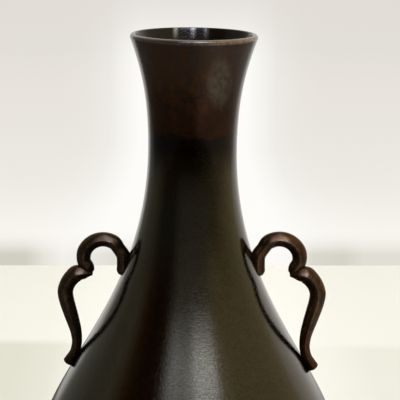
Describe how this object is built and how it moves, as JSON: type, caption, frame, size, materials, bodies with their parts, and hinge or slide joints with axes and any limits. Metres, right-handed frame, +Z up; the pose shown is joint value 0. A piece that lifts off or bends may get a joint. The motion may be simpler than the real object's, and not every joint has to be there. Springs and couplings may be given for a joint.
{
  "type": "flower vase",
  "caption": "Cast bronze flower vase with a flared mouth, a narrow neck and a low round belly, and a scroll-shaped ear on each side of the shoulder.",
  "frame": {"origin": "centre of the foot, on the surface that the vase stands on", "axes": "+Z up along the vase's axis, +X towards the right ear, +Y to the back"},
  "size_m": [0.1544, 0.1544, 0.29],
  "materials": {
    "cast_bronze": "turned casting with a dark brown, polished patina",
    "ear_bronze": "casting with a dark red-brown patina, rubbed lighter along its ridges",
    "disc_bronze": "cast disc, scraped flat and left dull",
    "pin_bronze": "drawn rod with a hammered head",
    "solder": "dull grey soft solder"
  },
  "bodies": {
    "root": {"vase_body": "cast_bronze", "base_plate": "disc_bronze", "base_solder_ring": "solder", "handle_left": "ear_bronze", "handle_right": "ear_bronze", "rivet_left_upper": "pin_bronze", "rivet_left_lower": "pin_bronze", "rivet_right_upper": "pin_bronze", "rivet_right_lower": "pin_bronze"}
  },
  "joints": []
}
